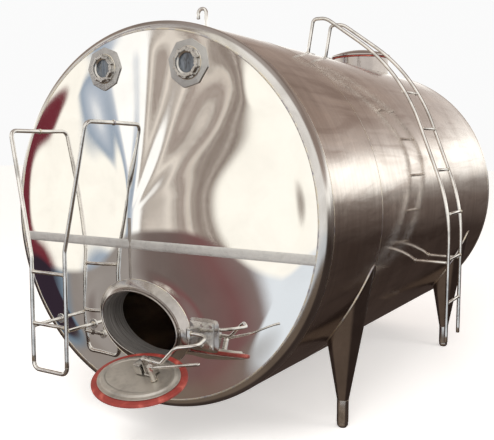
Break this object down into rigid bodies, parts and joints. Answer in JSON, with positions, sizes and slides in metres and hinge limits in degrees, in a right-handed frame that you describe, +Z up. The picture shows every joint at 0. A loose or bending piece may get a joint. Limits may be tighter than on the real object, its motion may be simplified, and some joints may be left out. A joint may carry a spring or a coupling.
{
  "type": "horizontal milk storage tank",
  "caption": "Horizontal insulated stainless milk tank on cone legs, with a mirror-polished flat head, oval manway door hanging on a swan-neck arm, ladders and sight glasses.",
  "frame": {"origin": "centre of the footprint box, on the floor", "axes": "+X to the side that carries the ladder, +Y along the tank axis from the manway head to the rear head, +Z up"},
  "size_m": [2.3754, 3.9754, 2.6286],
  "materials": {
    "head_sheet": "mirror polished",
    "rim_sheet": "fine ground",
    "shell_sheet": "brushed along the tank",
    "fitting_steel": "satin with ground welds",
    "door_sheet": "matt ground",
    "tube_steel": "polished tube",
    "leg_steel": "polished",
    "red_gasket": "matt",
    "sight_glass": "clear"
  },
  "bodies": {
    "tank": {"front_bottom_step": "tube_steel", "front_brackets": "tube_steel", "front_head_lower": "head_sheet", "front_head_upper": "head_sheet", "front_rail_left": "tube_steel", "front_rail_right": "tube_steel", "front_rim": "rim_sheet", "front_rungs": "tube_steel", "hinge_bracket": "fitting_steel", "leg_cone_front_left": "leg_steel", "leg_cone_front_right": "leg_steel", "leg_cone_rear_left": "leg_steel", "leg_cone_rear_right": "leg_steel", "leg_foot_front_left": "leg_steel", "leg_foot_front_right": "leg_steel", "leg_foot_rear_left": "leg_steel", "leg_foot_rear_right": "leg_steel", "manway_collar": "fitting_steel", "rear_head_lower": "head_sheet", "rear_head_upper": "head_sheet", "rear_rim": "rim_sheet", "sampling_stub": "fitting_steel", "shell_front_bottom_left": "shell_sheet", "shell_front_bottom_right": "shell_sheet", "shell_front_top_left": "shell_sheet", "shell_front_top_right": "shell_sheet", "shell_rear_bottom_left": "shell_sheet", "shell_rear_bottom_right": "shell_sheet", "shell_rear_top_left": "shell_sheet", "shell_rear_top_right": "shell_sheet", "side_brackets": "tube_steel", "side_rail_far": "tube_steel", "side_rail_near": "tube_steel", "side_rungs": "tube_steel", "side_top_feet": "tube_steel", "sight_glasses": "sight_glass", "sight_pads": "fitting_steel", "sight_rings": "fitting_steel", "top_manway_gasket": "red_gasket", "top_manway_lid": "fitting_steel", "top_manway_neck": "fitting_steel", "vent_gooseneck": "tube_steel"},
    "arm": {"swing_arm": "tube_steel"},
    "door": {"manway_door": "door_sheet", "door_gasket": "red_gasket", "door_clamp_block": "fitting_steel", "door_fork": "fitting_steel", "lever_stud": "fitting_steel"},
    "lever": {"door_lever": "tube_steel"}
  },
  "joints": [
    {"name": "arm_swing", "type": "hinge", "parent": "tank", "child": "arm", "pos_m": [0.21225, -1.5325, 0.677], "axis": [0, 0, 1], "range_deg": [0, 30]},
    {"name": "door_tilt", "type": "hinge", "parent": "arm", "child": "door", "pos_m": [0.12652, -1.78373, 0.57574], "axis": [0.9903, -0.1392, 0], "range_deg": [-20, 60]},
    {"name": "lever_turn", "type": "hinge", "parent": "door", "child": "lever", "pos_m": [0.17702, -1.8268, 0.55136], "axis": [0.0499, 0.3549, -0.9336], "range_deg": [0, 90]}
  ]
}
